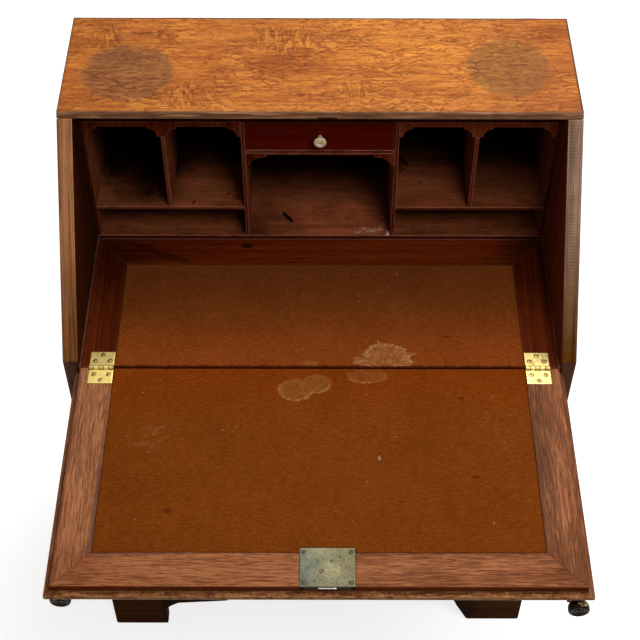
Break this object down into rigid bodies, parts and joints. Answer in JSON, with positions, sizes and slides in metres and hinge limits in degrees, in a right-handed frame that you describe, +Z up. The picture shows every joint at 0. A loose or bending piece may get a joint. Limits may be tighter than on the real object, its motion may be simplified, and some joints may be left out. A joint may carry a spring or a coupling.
{
  "type": "writing bureau",
  "caption": "Slope-front writing bureau, its leather-lined fall open on pull-out lopers, with a nest of pigeonholes and a small drawer inside, long drawers below and bracket feet.",
  "frame": {"origin": "on the floor, under the middle of the open bureau's box", "axes": "+X to the right of a person facing the bureau, +Y to the back, +Z up"},
  "size_m": [0.768, 0.8298, 1.055],
  "materials": {
    "oak": "waxed quarter-sawn oak, honey brown, worn at the edges",
    "dark_oak": "dark stained oak, waxed",
    "mahogany": "dark red-brown mahogany, old polish",
    "fall_wood": "red-brown mahogany with open pores, polished",
    "lining": "unpolished secondary timber",
    "leather": "worn rust-brown skiver leather with stains",
    "brass": "polished brass",
    "lock_brass": "tarnished brass",
    "steel": "worn steel",
    "bronze": "dark bronzed brass",
    "bone": "turned bone, cream"
  },
  "bodies": {
    "carcase": {"left_side": "oak", "right_side": "oak", "top_board": "oak", "back_panel": "lining", "bottom_board": "oak", "frieze_rail": "oak", "drawer_divider_upper": "oak", "drawer_divider_middle": "oak", "drawer_divider_lower": "oak", "base_moulding": "dark_oak", "front_left_foot": "dark_oak", "front_right_foot": "dark_oak", "rear_left_foot": "dark_oak", "rear_right_foot": "dark_oak", "bed_panel": "mahogany", "bed_leather": "leather", "left_hinge_bed_leaf": "brass", "left_hinge_pin": "brass", "right_hinge_bed_leaf": "brass", "right_hinge_pin": "brass", "nest_base": "mahogany", "nest_top": "mahogany", "nest_left_end": "mahogany", "nest_right_end": "mahogany", "nest_left_divider": "mahogany", "nest_right_divider": "mahogany", "nest_left_centre_divider": "mahogany", "nest_right_centre_divider": "mahogany", "nest_left_shelf": "mahogany", "nest_right_shelf": "mahogany", "nest_drawer_shelf": "mahogany", "left_valance": "mahogany", "right_valance": "mahogany", "centre_valance": "mahogany"},
    "fall": {"fall_panel": "fall_wood", "fall_frame": "fall_wood", "fall_leather": "leather", "left_hinge_fall_leaf": "brass", "right_hinge_fall_leaf": "brass", "lock_case": "lock_brass"},
    "bolt": {"lock_bolt": "steel"},
    "left_support": {"left_loper": "fall_wood", "left_loper_knob": "bronze"},
    "right_support": {"right_loper": "fall_wood", "right_loper_knob": "bronze"},
    "small_drawer": {"small_drawer_front": "mahogany", "small_drawer_box": "lining", "small_drawer_knob": "bone"},
    "upper_drawer": {"upper_drawer_front": "oak", "upper_drawer_box": "lining", "upper_drawer_left_knob": "bronze", "upper_drawer_right_knob": "bronze"},
    "middle_drawer": {"middle_drawer_front": "oak", "middle_drawer_box": "lining", "middle_drawer_left_knob": "bronze", "middle_drawer_right_knob": "bronze"},
    "lower_drawer": {"lower_drawer_front": "oak", "lower_drawer_box": "lining", "lower_drawer_left_knob": "bronze", "lower_drawer_right_knob": "bronze"}
  },
  "joints": [
    {"name": "fall_hinge", "type": "hinge", "parent": "carcase", "child": "fall", "pos_m": [0, -0.03909, 0.772], "axis": [-1, 0, 0], "range_deg": [0, 131.6]},
    {"name": "lock_bolt_slide", "type": "slide", "parent": "fall", "child": "bolt", "axis": [0, -1, 0], "range_m": [0, 0.006]},
    {"name": "left_loper_slide", "type": "slide", "parent": "carcase", "child": "left_support", "axis": [0, 1, 0], "range_m": [-0.0125, 0.339]},
    {"name": "right_loper_slide", "type": "slide", "parent": "carcase", "child": "right_support", "axis": [0, 1, 0], "range_m": [0, 0.3515]},
    {"name": "small_drawer_slide", "type": "slide", "parent": "carcase", "child": "small_drawer", "axis": [0, 1, 0], "range_m": [-0.12, 0]},
    {"name": "upper_drawer_slide", "type": "slide", "parent": "carcase", "child": "upper_drawer", "axis": [0, 1, 0], "range_m": [-0.32, 0]},
    {"name": "middle_drawer_slide", "type": "slide", "parent": "carcase", "child": "middle_drawer", "axis": [0, 1, 0], "range_m": [-0.32, 0]},
    {"name": "lower_drawer_slide", "type": "slide", "parent": "carcase", "child": "lower_drawer", "axis": [0, 1, 0], "range_m": [-0.32, 0]}
  ]
}
